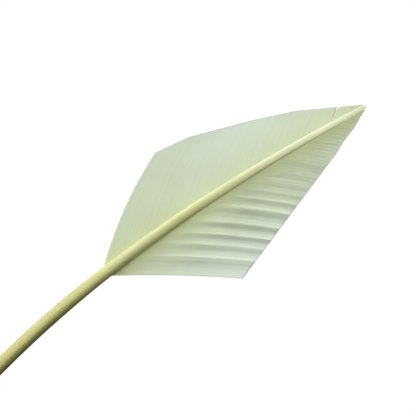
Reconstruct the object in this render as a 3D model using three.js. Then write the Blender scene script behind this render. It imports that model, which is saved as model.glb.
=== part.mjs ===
// A turkey quill feather, trimmed to an arrow-head outline and lying on its underside.
// It has three pieces: the horny shaft, and the left and right vanes that grow from its flanks.
// Millimetres, +Z up. +X runs from the open quill end to the cut tip and +Y to the left vane.
// The origin is the middle of the outline, on the surface that the feather lies on.
import * as THREE from "three";

// Shaft: a cubic curve with four control points, evenly spaced from the quill end to the cut tip
const LENGTH = 224.2;
const SIDEWAYS = [-7.1, 11.07, 6.23, -6.1]; // the control points' places across: it bows to the left
const HEIGHTS = [2.86, 2.95, 3.3, 1.3]; // and their heights: it lies almost flat
const BARREL_WIDTH = 5.9; // thickest part of the bare quill
const SHOULDER_WIDTH = 5.08; // where the vanes begin
const TIP_WIDTH = 2.05; // at the cut tip
const SHOULDER_AT = 101.4; // distances along +X from the quill end
const TAPER_LENGTH = 19; // the quill end narrows over this length
const END_SHARE = 0.45; // width left at the quill end, as a share of the barrel
const SECTION_FADE = 24; // the round barrel turns into the grooved shaft over this length
const SEAT_SHARE = 0.2; // depth of the seat that each vane grows from, as a share of the radius
const GROOVE_SHARE = 0.22; // depth of the groove along the underside, as a share of the radius
const TOP_SHARES = [0.76, 0.24]; // height left of the round top at the shoulder and the tip, as shares
const MOUTH_RADIUS = 0.55; // the small hole in the quill end
const MOUTH_DEPTH = 2.6;
const MOUTH_LIP = 0.4; // depth of the hole's sloping lip
const MOUTH_FLOOR_SHARE = 0.8; // radius of the hole's floor, as a share of its own
const TIP_CUT_LENGTH = 1.3; // the tip is cut to a blunt point over this length
const TIP_RIGHT_SHARE = 0.3; // half width left on the right at the very tip
const TIP_LEFT_SHARE = 0.6; // and on the left
const SHAFT_SIDES = 20;
const END_STATIONS = [1, 2.5, 5, 8, 12, 16]; // rings on the narrowing quill end
const BARREL_STEP = 7; // between rings on the bare barrel
const RACHIS_STEP = 4; // between rings where the shaft carries vanes

// Vanes: every barb runs from a root on the shaft to the trimmed edge, and both are divided alike
const ROOT_SHARE = 0.88; // how far out from the shaft's axis a barb's root lies, as a share of the radius
const ROOT_DROP_SHARE = 0.05; // how far below the axis a root lies, as a share of the radius
const ROOT_THICKNESS_SHARE = 0.2; // the root is a thin wedge, as a share of the radius
const VANE_THICKNESS_SHARE = 0.23; // thickness beside the shaft, as a share of the radius
const EDGE_THICKNESS = 0.34; // at the trimmed edge, and the least anywhere but the roots
const EDGE_RISE_POWER = 3; // the trimmed edge lies on the surface and rises late, towards the tip
const RIPPLE_FADE = [0, 0.5]; // ripples grow over this stretch of a barb, as shares of its length
const TROUGH_AT = 0.5; // where a trough lies between two crests, as a share
const LEFT_VANE = {
  name: "left_vane",
  side: 1,
  roots: [102, 223.2], // first and last, along +X from the quill end
  // Trimmed edge, cut in straight snips from its corner to the tip
  edge: [
    [34.5, 30.85],
    [41.1, 29.2],
    [48.4, 27.7],
    [74.2, 16.82],
    [89.2, 9.5],
    [111.7, -4.82],
  ],
  barbBow: 0.041, // barbs bow towards the quill end, as a share of their length
  edgeLag: 0, // how far mid barbs end towards the quill end, as a share of the edge
  droopPower: 1.35, // how steeply the barbs leave the shaft and flatten out
  split: { at: 106.95, width: 2.0, depth: 0.3 }, // a parting between barbs, along the roots
  ripples: [],
  rows: 8, // mesh divisions along a barb
  step: 2.6, // and between barbs, along the roots
};
const RIGHT_VANE = {
  name: "right_vane",
  side: -1,
  roots: [102.1, 221.5],
  edge: [
    [31.24, -30.66],
    [91.2, -13.92],
    [97.2, -11.66],
    [103.2, -10.12],
    [110.9, -6.97],
  ],
  barbBow: -0.014,
  edgeLag: 0.019,
  droopPower: 1.3,
  split: null,
  // Barbs cling together in locks: a crest between two locks, along the roots, and its height
  ripples: [
    [0, 0.3],
    [13.0, 0.38],
    [22.0, 0.35],
    [29.4, 0.47],
    [37.7, 0.54],
    [48.1, 0.5],
    [55.1, 0.29],
    [60.8, 0.13],
    [67.2, 0.11],
    [74.2, 0.06],
    [81.9, 0.17],
  ],
  rows: 9,
  step: 1.7,
};

const lerp = THREE.MathUtils.lerp;
const smoothstep = THREE.MathUtils.smoothstep;

const controlPoints = HEIGHTS.map((height, k) => {
  return new THREE.Vector3((k / 3 - 0.5) * LENGTH, SIDEWAYS[k], height);
});
const axis = new THREE.CubicBezierCurve3(...controlPoints);

// The shaft's centre and its level leftward direction, at a distance along +X from the quill end.
function shaftAt(distance) {
  const share = THREE.MathUtils.clamp(distance / LENGTH, 0, 1);
  const tangent = axis.getTangent(share);
  return {
    centre: axis.getPoint(share),
    left: new THREE.Vector3(-tangent.y, tangent.x, 0).normalize(),
  };
}

function shaftRadius(distance) {
  if (distance >= SHOULDER_AT) {
    const share = (distance - SHOULDER_AT) / (LENGTH - SHOULDER_AT);
    return lerp(SHOULDER_WIDTH, TIP_WIDTH, share) / 2;
  }
  const barrel = lerp(BARREL_WIDTH, SHOULDER_WIDTH, distance / SHOULDER_AT) / 2;
  const fromTaper = Math.max(0, 1 - distance / TAPER_LENGTH);
  return barrel * Math.sqrt(1 - fromTaper ** 2 * (1 - END_SHARE ** 2));
}

// Moves every vertex of a geometry to where place() puts it.
function warp(geometry, place) {
  const position = geometry.attributes.position;
  for (let i = 0; i < position.count; i++) {
    const moved = place(position.getX(i), position.getY(i), position.getZ(i));
    position.setXYZ(i, moved.x, moved.y, moved.z);
  }
  geometry.computeVertexNormals();
  return geometry;
}

// How far the round barrel has turned into the shaft that carries vanes: 0 to 1.
function carriedShare(distance) {
  return smoothstep(distance, SHOULDER_AT - SECTION_FADE, SHOULDER_AT);
}

// The round section gets a seat in each flank and a groove below where it carries vanes.
function sectionShare(angle, distance) {
  const step = (2 * Math.PI) / SHAFT_SIDES;
  const near = (centre) => {
    const away = Math.abs(Math.atan2(Math.sin(angle - centre), Math.cos(angle - centre)));
    return Math.max(0, 1 - away / step);
  };
  const seats = SEAT_SHARE * (near(0) + near(Math.PI));
  const groove = GROOVE_SHARE * near(-Math.PI / 2);
  return 1 - carriedShare(distance) * (seats + groove);
}

// Its upper half gets flatter, more so towards the tip.
function topShare(distance) {
  const flattened = lerp(...TOP_SHARES, (distance - SHOULDER_AT) / (LENGTH - SHOULDER_AT));
  return lerp(1, flattened, carriedShare(distance));
}

function shaftGeometry() {
  const stations = [...END_STATIONS];
  const fadeStart = SHOULDER_AT - SECTION_FADE;
  const cutStart = LENGTH - TIP_CUT_LENGTH;
  for (let d = TAPER_LENGTH; d < fadeStart; d += BARREL_STEP) stations.push(d);
  for (let d = fadeStart; d < cutStart; d += RACHIS_STEP) stations.push(d);
  stations.push(cutStart, LENGTH);
  const rim = shaftRadius(0);
  const profile = [
    new THREE.Vector2(0, MOUTH_DEPTH),
    new THREE.Vector2(MOUTH_RADIUS * MOUTH_FLOOR_SHARE, MOUTH_DEPTH),
    new THREE.Vector2(MOUTH_RADIUS, MOUTH_LIP),
    new THREE.Vector2((MOUTH_RADIUS + rim) / 2, 0),
    ...stations.map((d) => new THREE.Vector2(shaftRadius(d), d)),
    new THREE.Vector2(0, LENGTH),
  ];
  return warp(new THREE.LatheGeometry(profile, SHAFT_SIDES), (x, distance, z) => {
    const radius = Math.hypot(x, z);
    const angle = Math.atan2(z, x);
    const { centre, left } = shaftAt(distance);
    const shaped = radius * sectionShare(angle, distance);
    const cut = Math.max(0, (distance - cutStart) / TIP_CUT_LENGTH);
    const rightmost = shaftRadius(distance) * lerp(1, TIP_RIGHT_SHARE, cut);
    const leftmost = -shaftRadius(distance) * lerp(1, TIP_LEFT_SHARE, cut);
    const right = THREE.MathUtils.clamp(shaped * Math.cos(angle), leftmost, rightmost);
    const up = shaped * Math.sin(angle) * (angle > 0 ? topShare(distance) : 1);
    return centre.addScaledVector(left, -right).add(new THREE.Vector3(0, 0, up));
  });
}

// Where along its root line a barb stands: 0 at the first barb, 1 at the last.
function rootDistance(vane, u) {
  return lerp(vane.roots[0], vane.roots[1], u);
}

function rootPoint(vane, u) {
  const distance = rootDistance(vane, u);
  const radius = shaftRadius(distance);
  const { centre, left } = shaftAt(distance);
  centre.z -= ROOT_DROP_SHARE * radius;
  return centre.addScaledVector(left, vane.side * ROOT_SHARE * radius);
}

function trimmedEdge(vane) {
  const corners = vane.edge.map(([x, y]) => new THREE.Vector2(x, y));
  const edge = new THREE.CurvePath();
  for (let k = 1; k < corners.length; k++) edge.add(new THREE.LineCurve(corners[k - 1], corners[k]));
  return edge;
}

function edgePoint(vane, u) {
  const { x, y } = trimmedEdge(vane).getPoint(u - vane.edgeLag * 4 * u * (1 - u));
  const lowest = EDGE_THICKNESS / 2;
  const tipHeight = rootPoint(vane, 1).z;
  return new THREE.Vector3(x, y, lerp(lowest, tipHeight, u ** EDGE_RISE_POWER));
}

// Height that the locks add: it drops from each crest towards the tip, then swells up to the next crest.
function rippleHeight(vane, u, t) {
  if (!vane.ripples.length) return 0;
  const span = vane.roots[1] - vane.roots[0];
  const marks = [...vane.ripples, [span, 0]];
  const place = u * span;
  const next = Math.max(1, marks.findIndex(([at]) => at >= place));
  const [from, fromHeight] = marks[next - 1];
  const [to, toHeight] = marks[next];
  const share = (place - from) / (to - from);
  const wave = share < TROUGH_AT ? (1 - share / TROUGH_AT) ** 2 : smoothstep(share, TROUGH_AT, 1);
  return lerp(fromHeight, toHeight, share) * wave * smoothstep(t, ...RIPPLE_FADE);
}

// A parting leaves the barbs beside it short of the trimmed edge.
function barbReach(vane, u) {
  if (!vane.split) return 1;
  const place = u * (vane.roots[1] - vane.roots[0]);
  const away = Math.abs(place - vane.split.at) / (vane.split.width / 2);
  return 1 - vane.split.depth * Math.max(0, 1 - away);
}

// A point of a vane: u along the shaft, t from root to trimmed edge, face 1 above and -1 below.
function vanePoint(vane, u, t, face) {
  const root = rootPoint(vane, u);
  const edge = edgePoint(vane, u);
  const along = t * barbReach(vane, u);
  const point = root.clone().lerp(edge, along);
  const barb = edge.clone().sub(root).setZ(0);
  const toQuill = new THREE.Vector3(-barb.y, barb.x, 0).multiplyScalar(vane.side);
  point.addScaledVector(toQuill, vane.barbBow * 4 * along * (1 - along));
  const radius = shaftRadius(rootDistance(vane, u));
  const body = lerp(Math.max(VANE_THICKNESS_SHARE * radius, EDGE_THICKNESS), EDGE_THICKNESS, along);
  const wedge = ROOT_THICKNESS_SHARE * radius;
  const thickness = t === 0 ? Math.min(wedge, body) : body;
  const droop = (1 - along) ** vane.droopPower;
  point.z = lerp(edge.z, root.z, droop) + rippleHeight(vane, u, along) + (face * thickness) / 2;
  return point;
}

// Columns stand at every mark, and evenly between two marks.
function columnsOf(vane) {
  const span = vane.roots[1] - vane.roots[0];
  const marks = [0, ...vane.ripples.map(([at]) => at)];
  if (vane.split) marks.push(...[-1, 0, 1].map((k) => vane.split.at + (k * vane.split.width) / 2));
  marks.push(span);
  const columns = [0];
  for (let m = 1; m < marks.length; m++) {
    const gap = marks[m] - marks[m - 1];
    const count = Math.ceil(gap / vane.step);
    for (let k = 1; k <= count; k++) columns.push((marks[m - 1] + (gap * k) / count) / span);
  }
  return columns;
}

function vaneGeometry(vane) {
  const columns = columnsOf(vane);
  const last = columns.length - 1;
  const slab = new THREE.BoxGeometry(1, 1, 1, last, vane.rows, 1);
  return warp(slab, (x, y, z) => {
    const column = Math.round((x + 0.5) * last);
    const u = columns[vane.side > 0 ? column : last - column];
    const t = y + 0.5;
    return vanePoint(vane, u, t, Math.sign(z));
  });
}

function piece(name, geometry, colour, roughness) {
  const material = new THREE.MeshStandardMaterial({ color: colour, roughness, metalness: 0 });
  const mesh = new THREE.Mesh(geometry, material);
  mesh.name = name;
  return mesh;
}

const SHAFT_COLOUR = 0xd9d79e;
const VANE_COLOUR = 0xd0dcc2;

const feather = new THREE.Group();
feather.name = "turkey_quill_feather";
feather.add(piece("shaft", shaftGeometry(), SHAFT_COLOUR, 0.38));
for (const vane of [LEFT_VANE, RIGHT_VANE]) {
  feather.add(piece(vane.name, vaneGeometry(vane), VANE_COLOUR, 0.75));
}

export default feather;
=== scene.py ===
# %% [markdown]
# # A turkey quill feather
# A wing quill lies on a table with its smooth upper side to the camera. A bare horny shaft carries two
# vanes, trimmed with shears to an arrow-head outline, and the whole feather has been dyed a pale green.
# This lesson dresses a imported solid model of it: the shaft becomes a grained horn, and each vane becomes
# a comb of a few hundred real barbs. Everything is in metres, in the frame of the solid model: +X runs
# from the quill end to the tip, +Y to the left vane, and +Z up.

# %% Load the solid model
import math

import bpy
import numpy as np
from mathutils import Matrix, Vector


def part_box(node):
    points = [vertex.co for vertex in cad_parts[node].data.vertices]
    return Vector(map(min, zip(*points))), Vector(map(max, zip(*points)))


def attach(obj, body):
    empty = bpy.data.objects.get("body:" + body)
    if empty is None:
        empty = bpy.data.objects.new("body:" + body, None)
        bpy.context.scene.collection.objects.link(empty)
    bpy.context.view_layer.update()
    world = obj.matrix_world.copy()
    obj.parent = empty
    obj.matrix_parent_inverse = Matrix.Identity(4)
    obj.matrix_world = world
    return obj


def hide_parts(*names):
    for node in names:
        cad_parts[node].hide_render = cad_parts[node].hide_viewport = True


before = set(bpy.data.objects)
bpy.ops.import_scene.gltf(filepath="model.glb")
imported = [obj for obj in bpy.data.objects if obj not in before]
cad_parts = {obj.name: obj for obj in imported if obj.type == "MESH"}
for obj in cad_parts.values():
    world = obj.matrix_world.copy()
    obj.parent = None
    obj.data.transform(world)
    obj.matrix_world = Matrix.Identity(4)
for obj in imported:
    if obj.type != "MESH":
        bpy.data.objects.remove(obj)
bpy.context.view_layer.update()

# %% [markdown]
# ## The shaft's line and thickness
# A feather's shaft is never straight. Seen from above this one bows to one side, and seen from the side
# it lies almost flat and only dips towards its thin tip. One cubic curve with four control points gives
# both bends. A curve object could hold it, but a small function is easier to share, because the shaft,
# the roots of the barbs and the marks along them all ask the same question: where is the shaft at this
# distance from the quill end? A second function answers how thick it is there.

# %% The shaft's line
MM = 0.001
LENGTH = 224.2 * MM
SIDEWAYS = np.array((-7.1, 11.07, 6.23, -6.1)) * MM
HEIGHTS = np.array((2.86, 2.95, 3.3, 1.3)) * MM
CONTROL_POINTS = np.stack([np.linspace(-LENGTH / 2, LENGTH / 2, 4), SIDEWAYS, HEIGHTS], -1)


def shaft_line(distance):
    """Centre of the shaft and its level leftward direction, at distances along +X from the quill end."""
    s = np.clip(np.asarray(distance) / LENGTH, 0, 1)[..., None]
    a, b, c, d = CONTROL_POINTS
    centre = (1 - s) ** 3 * a + 3 * (1 - s) ** 2 * s * b + 3 * (1 - s) * s**2 * c + s**3 * d
    along = (1 - s) ** 2 * (b - a) + 2 * (1 - s) * s * (c - b) + s**2 * (d - c)
    left = np.stack([-along[..., 1], along[..., 0], np.zeros(along.shape[:-1])], -1)
    return centre, left / np.linalg.norm(left, axis=-1, keepdims=True)


shaft_low, shaft_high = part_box("shaft")
print(f"shaft: {LENGTH / MM:.1f} mm here, {(shaft_high.x - shaft_low.x) / MM:.1f} mm in the solid model")

# %% The shaft's thickness
BARREL_WIDTH = 5.9 * MM
SHOULDER_WIDTH = 5.08 * MM
TIP_WIDTH = 2.05 * MM
SHOULDER_AT = 101.4 * MM
TAPER_LENGTH = 19 * MM
END_SHARE = 0.45


def mix(a, b, share):
    return a + (b - a) * share


def shaft_radius(distance):
    """The barrel starts with a rounded taper and narrows slowly; past the shoulder it narrows faster."""
    upper = mix(SHOULDER_WIDTH, TIP_WIDTH, (distance - SHOULDER_AT) / (LENGTH - SHOULDER_AT)) / 2
    barrel = mix(BARREL_WIDTH, SHOULDER_WIDTH, distance / SHOULDER_AT) / 2
    from_taper = np.clip(1 - distance / TAPER_LENGTH, 0, 1)
    barrel = barrel * np.sqrt(1 - from_taper**2 * (1 - END_SHARE**2))
    return np.where(distance >= SHOULDER_AT, upper, barrel)


for distance in (0.0, TAPER_LENGTH, SHOULDER_AT, LENGTH):
    print(f"{distance / MM:.1f} mm from the quill end: {2 * shaft_radius(distance) / MM:.2f} mm thick")

# %% [markdown]
# ## The horn of the shaft
# The lower shaft is a round, bare barrel with a small mouth at its end. Where the vanes begin, each flank
# gets a narrow seat that the barbs grow from, and a groove opens along the underside. The top gets
# flatter from there to the tip, where one slanting cut ends it. Sweeping a circle along a curve would
# give most of this, but a sweep can't turn back into its own mouth. So the shaft is made as a stack of
# rings, and each ring is shaped by a formula before it is put in its place. The rings also store where
# every point lies on the straightened shaft, which the grain of the horn follows later.

# %% Helpers that make meshes
def make_object(name, points, faces):
    mesh = bpy.data.meshes.new(name)
    mesh.from_pydata(np.asarray(points).tolist(), [], faces)
    mesh.shade_smooth()
    made = bpy.data.objects.new(name, mesh)
    bpy.context.scene.collection.objects.link(made)
    return made


def store(made, name, values):
    """Keeps a number or a vector for every point of a mesh."""
    values = np.asarray(values, np.float32)
    kind = "FLOAT" if values.ndim == 1 else "FLOAT_VECTOR"
    attribute = made.data.attributes.new(name, kind, "POINT")
    attribute.data.foreach_set("value" if kind == "FLOAT" else "vector", values.ravel())


def grid_faces(rows, columns, closed):
    """Quads between neighbouring rows of points; a closed grid also joins its last column to its first."""
    faces = []
    for row in range(rows - 1):
        for column in range(columns if closed else columns - 1):
            after = (column + 1) % columns
            low, high = row * columns, (row + 1) * columns
            faces.append((low + column, low + after, high + after, high + column))
    return faces


print("a grid of 2 rows and 3 columns has the faces", grid_faces(2, 3, closed=False))

# %% The shaft's rings
SIDES = 64
RING_STEP = 0.8 * MM
MOUTH_RADIUS = 0.55 * MM
MOUTH_FLOOR_SHARE = 0.8
MOUTH_DEPTH = 2.6 * MM
MOUTH_LIP = 0.4 * MM


def shaft_rings():
    """Distance and radius of each ring: up from the floor of the mouth, round its rim, on to the tip."""
    rim = (MOUTH_RADIUS + float(shaft_radius(0.0))) / 2
    outside = np.append(np.arange(RING_STEP / 4, LENGTH, RING_STEP), LENGTH)
    distance = np.append((MOUTH_DEPTH, MOUTH_LIP, 0.0), outside)
    radius = np.append((MOUTH_FLOOR_SHARE * MOUTH_RADIUS, MOUTH_RADIUS, rim), shaft_radius(outside))
    return distance[:, None], radius[:, None]


ring_distance, ring_radius = shaft_rings()
print("shaft:", len(ring_distance), "rings of", SIDES, "points")

# %% The shaft's section
SECTION_FADE = 24 * MM
SEAT_DEPTH, SEAT_SPREAD = 0.05, math.radians(9)
GROOVE_DEPTH, GROOVE_SPREAD = 0.24, math.radians(17)
TOP_SHARES = (0.76, 0.12)
TOP_FADE_POWER = 0.75
TIP_CUT_LENGTH = 1.3 * MM
TIP_RIGHT_SHARE, TIP_LEFT_SHARE = 0.3, 0.6


def smooth(value, low, high):
    share = np.clip((value - low) / (high - low), 0, 1)
    return share * share * (3 - 2 * share)


def dent(angle, centre, spread):
    """Depth of a dent at an angle round the shaft: 1 at its centre, falling away over its spread."""
    away = np.arctan2(np.sin(angle - centre), np.cos(angle - centre))
    return np.exp(-((away / spread) ** 2))


def shaft_section(distance, radius, angle):
    """How far to the right of the shaft's line every point lies, and how far above it."""
    carries_vanes = smooth(distance, SHOULDER_AT - SECTION_FADE, SHOULDER_AT)
    seats = SEAT_DEPTH * (dent(angle, 0, SEAT_SPREAD) + dent(angle, math.pi, SEAT_SPREAD))
    groove = GROOVE_DEPTH * dent(angle, -math.pi / 2, GROOVE_SPREAD)
    shaped = radius * (1 - carries_vanes * (seats + groove))
    cut = np.clip(1 - (LENGTH - distance) / TIP_CUT_LENGTH, 0, 1)
    rightmost = radius * mix(1, TIP_RIGHT_SHARE, cut)
    leftmost = -radius * mix(1, TIP_LEFT_SHARE, cut)
    right = np.clip(shaped * np.cos(angle), leftmost, rightmost)
    along = np.clip((distance - SHOULDER_AT) / (LENGTH - SHOULDER_AT), 0, 1)
    flatter = mix(1, mix(*TOP_SHARES, along**TOP_FADE_POWER), carries_vanes)
    up = shaped * np.sin(angle) * np.where(np.sin(angle) > 0, flatter, 1)
    return right, up


ring_angle = np.linspace(0, 2 * math.pi, SIDES, endpoint=False)[None, :] - math.pi / 2
ring_right, ring_up = shaft_section(ring_distance, ring_radius, ring_angle)
print(f"the barrel rises {ring_up.max() / MM:.2f} mm above its line, the tip {ring_up[-1].max() / MM:.2f} mm")

# %% The shaft's mesh
def build_shaft(distance, radius, right, up):
    """Puts the rings in their places, joins them, and closes the floor of the mouth and the tip."""
    centre, left = shaft_line(distance)
    points = centre - left * right[..., None] + up[..., None] * np.array((0, 0, 1))
    poles = [points[0].mean(0), points[-1].mean(0)]
    grain = np.stack([np.broadcast_to(distance, up.shape), right, up], -1).reshape(-1, 3)
    faces = grid_faces(len(distance), SIDES, closed=True)
    first_pole = len(distance) * SIDES
    last_pole, last_ring = first_pole + 1, first_pole - SIDES
    for side in range(SIDES):
        after = (side + 1) % SIDES
        faces.append((after, side, first_pole))
        faces.append((last_ring + side, last_ring + after, last_pole))
    made = make_object("quill_shaft", np.concatenate([points.reshape(-1, 3), poles]), faces)
    store(made, "grain", np.concatenate([grain, [(MOUTH_DEPTH, 0, 0), (LENGTH, 0, 0)]]))
    store(made, "across", np.append(right / radius, (0, 0)))
    return made


shaft = build_shaft(ring_distance, ring_radius, ring_right, ring_up)
print("shaft:", len(shaft.data.polygons), "faces")

# %% [markdown]
# ## The form of a vane
# A vane is a thin sheet: every barb leaves the shaft at a slant and ends where the shears cut it, in a
# few straight snips. The two vanes differ. The left one is wide and smooth, with one open parting near
# the tip and two faint ones; the bottom of each parting is darkened by a painted shadow, and the faint
# ones are nothing but painted shadow lines. The right one is narrower, and its barbs cling together in
# locks, so that ripples run along it: from each crest the sheet drops towards the tip, then swells to the
# next crest.
# A sheet like this could be sculpted, but a rule is clearer: find a barb's root and its cut end, go from
# one to the other, and let the height sink towards the table on the way. The sheet isn't shown. It is
# the guide that the barbs follow.

# %% What sets the two vanes apart
# side: 1 on the left of the shaft and -1 on its right
# roots: distances from the quill end at which the first and the last barb leave the shaft
# edge: corners of the trimmed edge, from the quill end to the tip
# bow: how far a barb curves towards the quill end, or if negative towards the tip, as a share of its length
# lag: how far the ends of the middle barbs fall back along the edge, as a share of it
# droop_power: a higher power lets a barb sink sooner on its way from root to cut end
# ripples: each crest's distance from the first root, and its height
# tones: shares of the way along the vane, and how much darker its dye is there
# partings: distance from the first root, the shares of a barb between which it shows, its gap and its painted
# shadow
LEFT_VANE = {
    "name": "left_vane",
    "side": 1,
    "roots": (102.0 * MM, 223.2 * MM),
    "edge": MM * np.array([
        (34.5, 30.85), (41.1, 29.2), (48.4, 27.7), (74.2, 16.82), (89.2, 9.5), (111.7, -4.82),
    ]),
    "bow": 0.041,
    "lag": 0.0,
    "droop_power": 1.35,
    "ripples": None,
    "tones": ((0.0, 0.2, 0.5, 0.85, 1.0), (0.02, 0.012, 0.0, 0.025, 0.03)),
    "partings": [
        {"at": 106.95 * MM, "from": 0.3, "to": 1.2, "gap": 2.4 * MM, "shade": 0.25},
        {"at": 23.0 * MM, "from": 0.48, "to": 0.62, "gap": 0.0, "shade": 0.07},
        {"at": 51.1 * MM, "from": 0.44, "to": 0.48, "gap": 0.0, "shade": 0.08},
    ],
}
RIGHT_VANE = {
    "name": "right_vane",
    "side": -1,
    "roots": (102.1 * MM, 221.5 * MM),
    "edge": MM * np.array([
        (31.24, -30.66), (91.2, -13.92), (97.2, -11.66), (103.2, -10.12), (110.9, -6.97),
    ]),
    "bow": -0.014,
    "lag": 0.019,
    "droop_power": 1.3,
    "ripples": MM * np.array([
        (0.0, 0.3), (13.0, 0.38), (22.0, 0.35), (29.4, 0.47), (37.7, 0.54), (48.1, 0.5),
        (55.1, 0.29), (60.8, 0.13), (67.2, 0.11), (74.2, 0.06), (81.9, 0.17),
    ]),
    "tones": ((0.0, 0.35, 0.62, 0.78, 1.0), (0.0, 0.0, 0.035, 0.015, 0.015)),
    "partings": [],
}


def root_span(vane):
    first, last = vane["roots"]
    return last - first


for vane in (LEFT_VANE, RIGHT_VANE):
    print(f"{vane['name']}: {root_span(vane) / MM:.1f} mm of roots, {len(vane['edge']) - 1} snips")

# %% Cut ends, ripples and partings
RIPPLE_FADE = (0.0, 0.5)
TROUGH_AT = 0.5
PARTING_REACH = 2 * MM
PARTING_WIDTH = 0.35 * MM
PARTING_FADE = 0.08
GAP_FROM = 0.65


def edge_point(vane, u):
    """Points evenly spaced along the trimmed edge, which was cut in a few straight snips."""
    corners = vane["edge"]
    length = np.append(0, np.cumsum(np.linalg.norm(np.diff(corners, axis=0), axis=1)))
    share = length / length[-1]
    return np.stack([np.interp(u, share, corners[:, 0]), np.interp(u, share, corners[:, 1])], -1)


def ripple_height(vane, u, t):
    """From each crest the sheet drops at once, then swells to the next one; beside the shaft it is flat."""
    if vane["ripples"] is None:
        return 0 * u
    at = np.append(vane["ripples"][:, 0], root_span(vane)) / root_span(vane)
    high = np.append(vane["ripples"][:, 1], 0)
    crest = np.clip(np.searchsorted(at, u, side="right") - 1, 0, len(at) - 2)
    share = (u - at[crest]) / (at[crest + 1] - at[crest])
    wave = np.where(share < TROUGH_AT, (1 - share / TROUGH_AT) ** 2, smooth(share, TROUGH_AT, 1))
    return mix(high[crest], high[crest + 1], share) * wave * smooth(t, *RIPPLE_FADE)


def part_barbs(vane, u, t):
    """Barbs beside a gap lean away from it, and the bottom of every parting gets a painted shadow."""
    span = root_span(vane)
    lean, shade = 0 * u, 0 * u
    for parting in vane["partings"]:
        away = u * span - parting["at"]
        leaning = np.exp(-np.abs(away) / PARTING_REACH) * smooth(t, GAP_FROM, 1)
        lean += np.sign(away) * parting["gap"] / 2 / span * leaning
        begun = smooth(t, parting["from"], parting["from"] + PARTING_FADE)
        ended = smooth(t, parting["to"] - PARTING_FADE, parting["to"])
        shade += parting["shade"] * np.exp(-((away / PARTING_WIDTH) ** 2)) * (begun * (1 - ended))
    return u + lean, shade


print(len(RIGHT_VANE["ripples"]), "ripples and", len(LEFT_VANE["partings"]), "partings")

# %% The guide sheets
ROOT_SHARE = 0.88
ROOT_DROP_SHARE = 0.05
EDGE_THICKNESS = 0.34 * MM
EDGE_RISE_POWER = 3
SHEET_COLUMNS, SHEET_ROWS = 601, 49


def sheet_point(vane, u, t):
    """Points at a share u of the way from the first barb to the last, and a share t along that barb."""
    u = part_barbs(vane, u, t)[0]
    distance = mix(*vane["roots"], u)
    centre, left = shaft_line(distance)
    radius = shaft_radius(distance)[..., None]
    root = centre + (vane["side"] * left * ROOT_SHARE - np.array((0, 0, ROOT_DROP_SHARE))) * radius
    edge = edge_point(vane, u - vane["lag"] * 4 * u * (1 - u))
    barb = edge - root[..., :2]
    to_quill = vane["side"] * np.stack([-barb[..., 1], barb[..., 0]], -1)
    bow = vane["bow"] * 4 * t * (1 - t)
    flat = root[..., :2] + barb * t[..., None] + to_quill * bow[..., None]
    last_root = shaft_line(vane["roots"][1])[0][2] - ROOT_DROP_SHARE * shaft_radius(vane["roots"][1])
    edge_height = mix(EDGE_THICKNESS / 2, last_root, u**EDGE_RISE_POWER)
    height = mix(edge_height, root[..., 2], (1 - t) ** vane["droop_power"])
    return np.concatenate([flat, (height + ripple_height(vane, u, t))[..., None]], -1)


def build_sheet(vane):
    """A sheet that stores both shares of every point, and the partings' painted shadow plus the darker dye.
    """
    u, t = np.meshgrid(np.linspace(0, 1, SHEET_COLUMNS), np.linspace(0, 1, SHEET_ROWS), indexing="ij")
    points = sheet_point(vane, u, t).reshape(-1, 3)
    made = make_object(vane["name"] + "_sheet", points, grid_faces(SHEET_COLUMNS, SHEET_ROWS, closed=False))
    store(made, "sheet", np.stack([u.ravel(), t.ravel(), 0 * u.ravel()], -1))
    # Painted shadow at the bottom of the partings, added to the dye's darker tones along the vane.
    shade = part_barbs(vane, u, t)[1] + np.interp(u, *vane["tones"])
    store(made, "shade", shade.ravel())
    return made


left_sheet = build_sheet(LEFT_VANE)
right_sheet = build_sheet(RIGHT_VANE)
for sheet in (left_sheet, right_sheet):
    print(sheet.name, "spans", [round(size / MM, 1) for size in sheet.dimensions], "mm")

# %% [markdown]
# ## Finishes
# Horn and barbs are the same stuff, keratin, and look different because of their shape. A painted image
# could show them, but colours made from nodes stay sharp at any distance and need no file. The nodes read
# the numbers that the meshes store, so a colour can follow the shaft or a barb. Trees of nodes get long
# in a script, so a few helpers add a node, set it up and link it in one line.

# %% Helpers that make nodes
# A mix node has sockets for several kinds of data, and these are the places of its colour sockets.
COLOUR_A, COLOUR_B, COLOUR_RESULT = 6, 7, 2


def add(tree, kind, inputs=None, **settings):
    """Adds a node, sets it up, and fills or links its inputs."""
    made = tree.nodes.new(kind)
    for name, value in settings.items():
        setattr(made, name, value)
    for name, value in (inputs or {}).items():
        socket = made.inputs[name]
        if isinstance(value, bpy.types.NodeSocket):
            tree.links.new(value, socket)
        else:
            socket.default_value = value
    return made


def math_node(tree, operation, a, b=0.0):
    return add(tree, "ShaderNodeMath", {0: a, 1: b}, operation=operation).outputs[0]


def ranged(tree, value, from_min, from_max, to_min=0.0, to_max=1.0):
    """Takes a value from one range to another, smoothly and without leaving it."""
    ends = {"Value": value, "From Min": from_min, "From Max": from_max, "To Min": to_min, "To Max": to_max}
    return add(tree, "ShaderNodeMapRange", ends, interpolation_type="SMOOTHSTEP").outputs["Result"]


def blend_colours(tree, share, a, b, blend_type="MIX"):
    inputs = {"Factor": share, COLOUR_A: a, COLOUR_B: b}
    made = add(tree, "ShaderNodeMix", inputs, data_type="RGBA", blend_type=blend_type)
    return made.outputs[COLOUR_RESULT]


def shaded(tree, colour, value):
    """Multiplies a colour by a value, to make it darker or lighter."""
    grey = add(tree, "ShaderNodeCombineXYZ", {0: value, 1: value, 2: value}).outputs[0]
    return blend_colours(tree, 1.0, colour, grey, "MULTIPLY")


def stored_number(tree, name):
    return add(tree, "ShaderNodeAttribute", attribute_name=name).outputs["Fac"]


def noise(tree, place, scale, detail):
    return add(tree, "ShaderNodeTexNoise", {"Vector": place, "Scale": scale, "Detail": detail}).outputs["Fac"]


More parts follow.
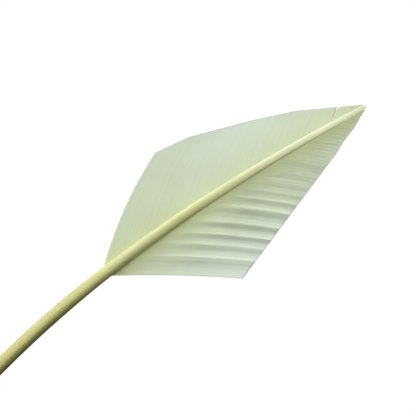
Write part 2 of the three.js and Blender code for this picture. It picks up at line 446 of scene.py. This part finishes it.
def new_material(name, **constants):
    """A material with one Principled shader, whose constant values are set on its own sockets."""
    material = bpy.data.materials.new(name)
    material.use_nodes = True
    tree = material.node_tree
    shader = tree.nodes["Principled BSDF"]
    for socket, value in constants.items():
        shader.inputs[socket.replace("_", " ")].default_value = value
    return material, tree, shader


print("the names of nodes and sockets are those of Blender", bpy.app.version_string)

# %% [markdown]
# ## The finish of the horn
# The horn is yellow and has a fine lengthwise grain. The bare barrel is the darkest and glossiest part.
# The upper shaft is duller and pales towards the tip, where it is thin. Along the upper shaft its left flank,
# which faces the lamp, gets a paler colour as a painted highlight, and its shaded right flank gets a lighter,
# yellower colour as painted fill light. The grain is a noise that is stretched along the shaft, and it
# changes the colour, the gloss and the surface together, as real grain does. Light also goes a little way
# into horn, so the shader scatters some of it under the surface.

# %% Colours along and across the shaft
HORN_END = (0.41, 0.375, 0.05, 1)
HORN_BARREL = (0.46, 0.435, 0.07, 1)
HORN_UPPER = (0.575, 0.60, 0.19, 1)
HORN_TIP = (0.84, 0.90, 0.535, 1)
HORN_BARREL_FROM = (30 * MM, 75 * MM)
HORN_UPPER_FROM = (70 * MM, 130 * MM)
HORN_TIP_FROM = (140 * MM, 208 * MM)

# Painted highlight: a paler colour on the left flank of the upper shaft, which faces the lamp.
HORN_PAINTED_HIGHLIGHT = (1.0, 1.0, 0.92, 1)
# Painted fill light: a lighter, yellower colour on the shaded right flank of the upper shaft.
HORN_PAINTED_FILL = (1.0, 0.98, 0.5, 1)
PAINTED_FLANKS_FROM = (95 * MM, 115 * MM)
PAINTED_HIGHLIGHT_TIP_FROM = (180 * MM, 215 * MM)
PAINTED_HIGHLIGHT_SHARE, PAINTED_HIGHLIGHT_TIP_SHARE = 0.16, 0.25
PAINTED_HIGHLIGHT_INNER, PAINTED_HIGHLIGHT_OUTER = (-0.05, -0.5), (-1.0, -0.7)
PAINTED_FILL_SHARE = 0.55
PAINTED_FILL_OUTER = (0.76, 0.96)


def horn_colours(tree, distance):
    """Colours from quill end to tip, then painted highlight on the upper left flank and painted fill on the
    right.
    """
    base = blend_colours(tree, ranged(tree, distance, *HORN_BARREL_FROM), HORN_END, HORN_BARREL)
    base = blend_colours(tree, ranged(tree, distance, *HORN_UPPER_FROM), base, HORN_UPPER)
    base = blend_colours(tree, ranged(tree, distance, *HORN_TIP_FROM), base, HORN_TIP)
    across = stored_number(tree, "across")
    inner, outer = ranged(tree, across, *PAINTED_HIGHLIGHT_INNER), ranged(tree, across, *PAINTED_HIGHLIGHT_OUTER)
    painted_light_share = ranged(tree, distance, *PAINTED_FLANKS_FROM, 0.0, PAINTED_HIGHLIGHT_SHARE)
    painted_highlight_near_tip = ranged(tree, distance, *PAINTED_HIGHLIGHT_TIP_FROM, 0.0, PAINTED_HIGHLIGHT_TIP_SHARE)
    # Painted highlight on the lit left flank, stronger towards the tip.
    left = math_node(tree, "MULTIPLY", inner, outer)
    left = math_node(tree, "MULTIPLY", left, math_node(tree, "ADD", painted_light_share, painted_highlight_near_tip))
    base = blend_colours(tree, left, base, HORN_PAINTED_HIGHLIGHT)
    # Painted fill light on the shaded right flank, near its edge.
    painted_light_share = ranged(tree, distance, *PAINTED_FLANKS_FROM, 0.0, PAINTED_FILL_SHARE)
    right = math_node(tree, "MULTIPLY", ranged(tree, across, *PAINTED_FILL_OUTER), painted_light_share)
    return blend_colours(tree, right, base, HORN_PAINTED_FILL)


print(f"the horn is palest from {HORN_TIP_FROM[1] / MM:.0f} mm on")

# %% Horn for the shaft
GRAIN_STRETCH = (40, 1500, 1500)
GRAIN_SPAN, GRAIN_TONES, GRAIN_GLOSS = (0.3, 0.7), (-0.06, 0.04), (0.36, 0.5)
GRAIN_STRENGTH, GRAIN_DEPTH = 0.1, 0.06 * MM
CLOUDS_SCALE = 55.0
CLOUDS_SPAN, CLOUDS_TONES = (0.35, 0.65), (-0.04, 0.04)
DULLER_FROM, DULLER_BY = (90 * MM, 140 * MM), 0.24


def horn():
    material, tree, shader = new_material(
        "horn", IOR=1.54, Specular_IOR_Level=1.0, Sheen_Weight=0.3, Sheen_Roughness=0.3,
        Subsurface_Weight=0.3, Subsurface_Scale=1.2 * MM, Subsurface_Radius=(1.0, 0.85, 0.4),
    )
    grain = add(tree, "ShaderNodeAttribute", attribute_name="grain").outputs["Vector"]
    distance = add(tree, "ShaderNodeSeparateXYZ", {0: grain}).outputs["X"]
    stretched = add(tree, "ShaderNodeMapping", {"Vector": grain, "Scale": GRAIN_STRETCH}).outputs[0]
    streaks = noise(tree, stretched, 1.0, detail=4.0)
    clouds = noise(tree, grain, CLOUDS_SCALE, detail=2.0)
    tone = math_node(tree, "ADD", ranged(tree, streaks, *GRAIN_SPAN, *GRAIN_TONES), 1.0)
    tone = math_node(tree, "ADD", tone, ranged(tree, clouds, *CLOUDS_SPAN, *CLOUDS_TONES))
    tree.links.new(shaded(tree, horn_colours(tree, distance), tone), shader.inputs["Base Color"])
    duller = ranged(tree, distance, *DULLER_FROM, 0.0, DULLER_BY)
    rough = math_node(tree, "ADD", ranged(tree, streaks, *GRAIN_SPAN, *GRAIN_GLOSS), duller)
    tree.links.new(rough, shader.inputs["Roughness"])
    surface = {"Strength": GRAIN_STRENGTH, "Distance": GRAIN_DEPTH, "Height": streaks}
    tree.links.new(add(tree, "ShaderNodeBump", surface).outputs[0], shader.inputs["Normal"])
    return material


shaft.data.materials.append(horn())
print("horn:", len(shaft.data.materials[0].node_tree.nodes), "nodes")

# %% [markdown]
# ## The finish of the barbs
# Barbs are matt, with a faint silky sheen. They are yellower beside the shaft and greyer outwards, paler
# in one part of each vane, and dull where the shears cut them, and no two are quite alike. One colour for
# a whole vane would look like felt. So each barb will store how far it has come from the shaft, how pale
# it is and a tone of its own, and the finish blends its colours by these numbers.

# %% Barbs for the vanes
LEFT_COLOURS = {
    "near": (0.72, 0.79, 0.475, 1),
    "middle": (0.70, 0.785, 0.555, 1),
    "far": (0.71, 0.80, 0.605, 1),
    "pale": (0.80, 0.895, 0.75, 1),
    "pale_from": (4 * MM, 40 * MM),
    "pale_least": 0.28,
}
RIGHT_COLOURS = {
    "near": (0.715, 0.785, 0.425, 1),
    "middle": (0.765, 0.86, 0.615, 1),
    "far": (0.78, 0.885, 0.71, 1),
    "pale": (0.85, 0.96, 0.79, 1),
    "pale_from": (15 * MM, 45 * MM),
    "pale_least": 0.0,
}
CUT_COLOUR, CUT_FROM = (0.62, 0.65, 0.65, 1), (0.975, 1.0)
MIDDLE_FROM, FAR_FROM = (0.0, 14 * MM), (8 * MM, 45 * MM)
DYE_SCALE = 45.0
DYE_SPAN, DYE_TONES = (0.3, 0.7), (0.97, 1.03)
BARB_TONES = (0.98, 1.02)


def barbs_finish(name, colours):
    material, tree, shader = new_material(
        name, Roughness=0.62, Specular_IOR_Level=0.15, Sheen_Weight=0.12, Sheen_Roughness=0.5,
    )
    from_shaft = stored_number(tree, "from_shaft")
    base = blend_colours(tree, ranged(tree, from_shaft, *MIDDLE_FROM), colours["near"], colours["middle"])
    base = blend_colours(tree, ranged(tree, from_shaft, *FAR_FROM), base, colours["far"])
    paleness = ranged(tree, from_shaft, *colours["pale_from"], colours["pale_least"])
    paleness = math_node(tree, "MULTIPLY", stored_number(tree, "pale"), paleness)
    base = blend_colours(tree, paleness, base, colours["pale"])
    base = blend_colours(tree, ranged(tree, stored_number(tree, "along_barb"), *CUT_FROM), base, CUT_COLOUR)
    place = add(tree, "ShaderNodeTexCoord").outputs["Object"]
    dye = noise(tree, place, DYE_SCALE, detail=3.0)
    own_tone = ranged(tree, stored_number(tree, "tone"), 0.0, 1.0, *BARB_TONES)
    value = math_node(tree, "MULTIPLY", ranged(tree, dye, *DYE_SPAN, *DYE_TONES), own_tone)
    # Painted shadow: the barbs are darkened by the partings' painted shadow and by the dye's tones.
    lit = math_node(tree, "SUBTRACT", 1.0, stored_number(tree, "shade"))
    value = math_node(tree, "MULTIPLY", value, lit)
    tree.links.new(shaded(tree, base, value), shader.inputs["Base Color"])
    return material


left_finish = barbs_finish("left_barbs", LEFT_COLOURS)
right_finish = barbs_finish("right_barbs", RIGHT_COLOURS)
for finish in (left_finish, right_finish):
    print(finish.name, "has", len(finish.node_tree.nodes), "nodes")

# %% [markdown]
# ## The barbs
# A barb is a thin ridge with finer hooks on both sides, which zip it to its neighbours. A few hundred of
# them make a vane. Copies of one straight barb wouldn't do, since each has its own length, slant and
# curve. Geometry Nodes fit this well: one straight line is instanced once for each barb, the copies are
# made real, and every point of every line is then moved to where the guide sheet has the same share of
# the shaft and of the barb. Only then does each line get its ridged section. Neighbouring barbs overlap
# a little, as hooked ones do, so the vane closes without a gap.

# %% The comb's inputs
def comb_inputs(tree):
    """The tree's named inputs: sizes in metres, counts, shares and the seed."""
    kinds = {
        "Sheet": "Geometry", "Barbs": "Int", "Points": "Int", "Width": "Float", "Height": "Float",
        "Streaks": "Float", "Ragged": "Float", "Pale From": "Float", "Pale To": "Float", "Seed": "Int",
        "Finish": "Material",
    }
    for name, kind in kinds.items():
        tree.interface.new_socket(name, in_out="INPUT", socket_type="NodeSocket" + kind)
    tree.interface.new_socket("Barbs", in_out="OUTPUT", socket_type="NodeSocketGeometry")
    return add(tree, "NodeGroupInput").outputs


comb = bpy.data.node_groups.new("barb_comb", "GeometryNodeTree")
given = comb_inputs(comb)
print("the comb is given", [socket.name for socket in given if socket.name])

# %% One line for each barb
def named(tree, name, data_type="FLOAT"):
    made = add(tree, "GeometryNodeInputNamedAttribute", {"Name": name}, data_type=data_type)
    return made.outputs["Attribute"]


def keep(tree, geometry, name, value, data_type="FLOAT"):
    inputs = {"Geometry": geometry, "Name": name, "Value": value}
    made = add(tree, "GeometryNodeStoreNamedAttribute", inputs, data_type=data_type, domain="POINT")
    return made.outputs["Geometry"]


def comb_lines(tree, given):
    """One straight line of points for each barb, made real, each knowing which barb it is."""
    starts = add(tree, "GeometryNodePoints", {"Count": given["Barbs"]}).outputs[0]
    index = add(tree, "GeometryNodeInputIndex").outputs[0]
    starts = keep(tree, starts, "barb", index, "INT")
    line = add(tree, "GeometryNodeCurvePrimitiveLine").outputs[0]
    line = add(tree, "GeometryNodeResampleCurve", {"Curve": line, "Count": given["Points"]}).outputs[0]
    copies = add(tree, "GeometryNodeInstanceOnPoints", {"Points": starts, "Instance": line}).outputs[0]
    return add(tree, "GeometryNodeRealizeInstances", {"Geometry": copies}).outputs[0]


straight_lines = comb_lines(comb, given)
print("lines:", len(comb.nodes), "nodes so far")

# %% Lay the lines on the sheet
LONGEST_REACH = 0.9995
STREAK_SCALE = 0.31
STREAK_FADE = (0.02, 0.4)


def random_for_barb(tree, barb, seed):
    """A number from 0 to 1 that is the same for every point of a barb."""
    made = add(tree, "FunctionNodeRandomValue", {"ID": barb, "Seed": seed}, data_type="FLOAT")
    return made.outputs[1]


def sample_sheet(tree, given, shares, value, data_type):
    """What the sheet has at these shares of the shaft and of the barb."""
    inputs = {"Mesh": given["Sheet"], "Value": value, "Sample UV": shares}
    inputs["UV Map"] = named(tree, "sheet", "FLOAT_VECTOR")
    return add(tree, "GeometryNodeSampleUVSurface", inputs, data_type=data_type).outputs[0]


def streak_rise(tree, given, barb, t):
    """Neighbouring barbs rise or sink together by a hair, which makes fine streaks."""
    inputs = {"W": math_node(tree, "ADD", barb, given["Seed"]), "Scale": STREAK_SCALE, "Detail": 2.0}
    wave = add(tree, "ShaderNodeTexNoise", inputs, noise_dimensions="1D").outputs[0]
    rise = math_node(tree, "MULTIPLY", math_node(tree, "SUBTRACT", wave, 0.5), given["Streaks"])
    rise = math_node(tree, "MULTIPLY", rise, ranged(tree, t, *STREAK_FADE))
    return add(tree, "ShaderNodeCombineXYZ", {2: rise}).outputs[0]


def lay_on_sheet(tree, given, lines):
    """Moves every line's points to their shares of the sheet, and keeps numbers for the finish."""
    barb = named(tree, "barb", "INT")
    u = math_node(tree, "DIVIDE", math_node(tree, "ADD", barb, 0.5), given["Barbs"])
    ragged = math_node(tree, "MULTIPLY", given["Ragged"], random_for_barb(tree, barb, given["Seed"]))
    reach = math_node(tree, "SUBTRACT", LONGEST_REACH, ragged)
    t = math_node(tree, "MULTIPLY", add(tree, "GeometryNodeSplineParameter").outputs["Factor"], reach)
    lines = keep(tree, lines, "along_barb", t)
    lines = keep(tree, lines, "pale", ranged(tree, u, given["Pale From"], given["Pale To"]))
    shares = add(tree, "ShaderNodeCombineXYZ", {0: u, 1: t}).outputs[0]
    # Each barb takes the partings' painted shadow and the dye's tones from the sheet.
    lines = keep(tree, lines, "shade", sample_sheet(tree, given, shares, named(tree, "shade"), "FLOAT"))
    position = add(tree, "GeometryNodeInputPosition").outputs[0]
    place = sample_sheet(tree, given, shares, position, "FLOAT_VECTOR")
    lines = add(tree, "GeometryNodeSetPosition", {"Geometry": lines, "Position": place}).outputs[0]
    lines = keep(tree, lines, "from_shaft", add(tree, "GeometryNodeSplineParameter").outputs["Length"])
    rise = streak_rise(tree, given, barb, t)
    lines = add(tree, "GeometryNodeSetPosition", {"Geometry": lines, "Offset": rise}).outputs[0]
    tone_seed = math_node(tree, "ADD", given["Seed"], 1.0)
    return keep(tree, lines, "tone", random_for_barb(tree, barb, tone_seed))


laid_lines = lay_on_sheet(comb, given, straight_lines)
print("lines on the sheet:", len(comb.nodes), "nodes so far")

# %% Turn the lines into ridges
BARB_SIDES = 6


def ridge_lines(tree, given, lines):
    """Gives every line the flat, rounded section of a barb, and its finish."""
    lines = add(tree, "GeometryNodeSetCurveNormal", {"Curve": lines}, mode="Z_UP").outputs[0]
    size = add(tree, "ShaderNodeCombineXYZ", {0: given["Width"], 1: given["Height"], 2: 1.0}).outputs[0]
    circle = {"Resolution": BARB_SIDES, "Radius": 0.5}
    section = add(tree, "GeometryNodeCurvePrimitiveCircle", circle).outputs[0]
    section = add(tree, "GeometryNodeTransform", {"Geometry": section, "Scale": size}).outputs[0]
    inputs = {"Curve": lines, "Profile Curve": section, "Fill Caps": True}
    barbs = add(tree, "GeometryNodeCurveToMesh", inputs).outputs[0]
    barbs = add(tree, "GeometryNodeSetShadeSmooth", {"Geometry": barbs}).outputs[0]
    barbs = add(tree, "GeometryNodeRealizeInstances", {"Geometry": barbs}).outputs[0]
    return add(tree, "GeometryNodeSetMaterial", {"Geometry": barbs, "Material": given["Finish"]}).outputs[0]


add(comb, "NodeGroupOutput", {"Barbs": ridge_lines(comb, given, laid_lines)})
print("comb:", len(comb.nodes), "nodes in all")

# %% Comb both vanes
COMB_SIZES = {"Barbs": 250, "Points": 30, "Width": 0.4 * MM, "Height": 0.2 * MM, "Ragged": 0.006}
LEFT_COMB = {"Streaks": 0.022 * MM, "Pale From": 0.08, "Pale To": 0.45, "Seed": 11}
RIGHT_COMB = {"Streaks": 0.1 * MM, "Pale From": 0.45, "Pale To": 0.05, "Seed": 23}


def comb_vane(name, sheet, finish, settings):
    """Runs the tree on a guide sheet, keeps its result as a plain mesh and removes the sheet."""
    modifier = sheet.modifiers.new("comb", "NODES")
    modifier.node_group = comb
    values = {**COMB_SIZES, **settings, "Finish": finish}
    for socket in comb.interface.items_tree:
        if socket.in_out == "INPUT" and socket.name in values:
            modifier[socket.identifier] = values[socket.name]
    graph = bpy.context.evaluated_depsgraph_get()
    combed = sheet.evaluated_get(graph)
    mesh = bpy.data.meshes.new_from_object(combed, preserve_all_data_layers=True, depsgraph=graph)
    bpy.data.objects.remove(sheet)
    mesh.name = name
    made = bpy.data.objects.new(name, mesh)
    bpy.context.scene.collection.objects.link(made)
    return made


left_barbs = comb_vane("left_vane_barbs", left_sheet, left_finish, LEFT_COMB)
right_barbs = comb_vane("right_vane_barbs", right_sheet, right_finish, RIGHT_COMB)
for made in (left_barbs, right_barbs):
    made.data.calc_loop_triangles()
    print(made.name, len(made.data.loop_triangles), "triangles,", [a.name for a in made.data.attributes])

# %% [markdown]
# ## Everything rides on the solid model
# The feather has no joint, so it has one body, called root. Each new piece rides on it and stands for the
# solid that it covers.

# %% Ride and replace
for piece, node, finish in (
    (shaft, "shaft", "shaft_keratin"),
    (left_barbs, "left_vane", "vane_barbs"),
    (right_barbs, "right_vane", "vane_barbs"),
):
    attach(piece, "root")
    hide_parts(node)
    print(piece.name, "stands for", node)

# %% [markdown]
# ## The table
# The photograph looks straight down on a table of pure, even white, without a shadow. A lit white table
# would also throw light back under the shaft and wash out its dark side. So the table glows by itself,
# and only the camera sees it.

# %% Table
TABLE_SIZE = 6.0
TABLE_GLOW = 1.0
TABLE_COLOUR = (0.02, 0.02, 0.02, 1)
WHITE = (1, 1, 1, 1)


def build_table():
    half = TABLE_SIZE / 2
    corners = [(x * half, y * half, 0) for x, y in ((-1, -1), (1, -1), (1, 1), (-1, 1))]
    table = make_object("table", corners, [(0, 1, 2, 3)])
    material, _, _ = new_material(
        "table_white", Base_Color=TABLE_COLOUR, Roughness=0.9, Specular_IOR_Level=0.0,
        Emission_Color=WHITE, Emission_Strength=TABLE_GLOW,
    )
    table.data.materials.append(material)
    table.visible_diffuse = False
    table.visible_glossy = False
    table.visible_transmission = False
    table.visible_shadow = False
    return table


table = build_table()
print("table:", TABLE_SIZE, "m square")

# %% [markdown]
# ## Light
# One large, soft lamp stands like a wall on the side of the left vane, so the round shaft goes from
# bright to dark across its width and every ripple shows. Two more cards show only as reflections, mostly
# in the glossy horn: one stands for the bright table in front of the lamp, and one for the ceiling. The
# rest of the room is a dim light from above. A sun would be simpler, but its hard shadows and its one
# small glint would look nothing like this soft light.

# %% Lamp and cards
LAMP_BEARING = math.radians(77)
LAMP_DISTANCE = 0.6
LAMP_WIDTH = 2.4
LAMP_HEIGHT = 1.04
LAMP_STRENGTH = 7.45
TABLE_CARD_DEPTH = 0.6
CEILING_HEIGHT = 1.0
CEILING_SIZE = 1.0
CEILING_SHIFT = 0.15
CEILING_STRENGTH = 5.0


def build_card(name, centre, back, height, strength):
    """A glowing card of the lamp's width, unseen by the camera, that turns its back in a direction."""
    data = bpy.data.lights.new(name, "AREA")
    data.shape = "RECTANGLE"
    data.size, data.size_y = LAMP_WIDTH, height
    data.energy = strength * data.size * data.size_y
    card = bpy.data.objects.new(name, data)
    card.location = centre
    card.rotation_euler = back.to_track_quat("Z", "Y").to_euler()
    card.visible_camera = False
    bpy.context.scene.collection.objects.link(card)
    return card


up = Vector((0, 0, 1))
away = Vector((math.cos(LAMP_BEARING), math.sin(LAMP_BEARING), 0))
foot = away * LAMP_DISTANCE
lamp_centre = foot + up * LAMP_HEIGHT / 2
table_centre = foot - up * TABLE_CARD_DEPTH / 2
ceiling_centre = up * CEILING_HEIGHT + away * CEILING_SHIFT
lamp = build_card("lamp", lamp_centre, away, LAMP_HEIGHT, LAMP_STRENGTH)
table_shine = build_card("table_shine", table_centre, away, TABLE_CARD_DEPTH, LAMP_STRENGTH)
ceiling_shine = build_card("ceiling_shine", ceiling_centre, up, CEILING_SIZE, CEILING_STRENGTH)
ceiling_shine.rotation_euler.z = LAMP_BEARING - math.pi / 2
for shine in (table_shine, ceiling_shine):
    shine.visible_diffuse = False
print("lamp at", lamp.location, "with cards", table_shine.name, "and", ceiling_shine.name)

# %% Room
ROOM_LIGHT = 0.2
HORIZON = 0.02


def build_room():
    """A dim white light from above the horizon, and darkness below it."""
    room = bpy.data.worlds.new("room")
    room.use_nodes = True
    tree = room.node_tree
    direction = add(tree, "ShaderNodeTexCoord").outputs["Generated"]
    upward = add(tree, "ShaderNodeSeparateXYZ", {0: direction}).outputs["Z"]
    background = tree.nodes["Background"]
    background.inputs["Color"].default_value = WHITE
    strength = ranged(tree, upward, -HORIZON, HORIZON, 0.0, ROOM_LIGHT)
    tree.links.new(strength, background.inputs["Strength"])
    return room


bpy.context.scene.world = build_room()
print("room light:", ROOM_LIGHT)

# %% [markdown]
# ## Camera
# The photograph looks straight down from far away, and the feather lies across it from corner to corner.
# So the camera hangs high above the table with a long lens, and is turned instead of the feather. The
# lens follows from the width that the picture has to show. The standard view keeps the colours as they
# are worked out, without a film look.

# %% Camera
CAMERA_HEIGHT = 1.2
FRAME_WIDTH = 166.4 * MM
FRAME_CENTRE = (37.29 * MM, 0.33 * MM)
FRAME_TURN = math.radians(-37.68)
FEATHER_PLANE = 3 * MM

camera_data = bpy.data.cameras.new("camera")
camera_data.lens = camera_data.sensor_width * (CAMERA_HEIGHT - FEATHER_PLANE) / FRAME_WIDTH
camera = bpy.data.objects.new("camera", camera_data)
camera.location = (*FRAME_CENTRE, CAMERA_HEIGHT)
camera.rotation_euler = (0, 0, FRAME_TURN)
bpy.context.scene.collection.objects.link(camera)
bpy.context.scene.camera = camera
bpy.context.scene.view_settings.view_transform = "Standard"
print(f"camera: {camera_data.lens:.0f} mm lens")
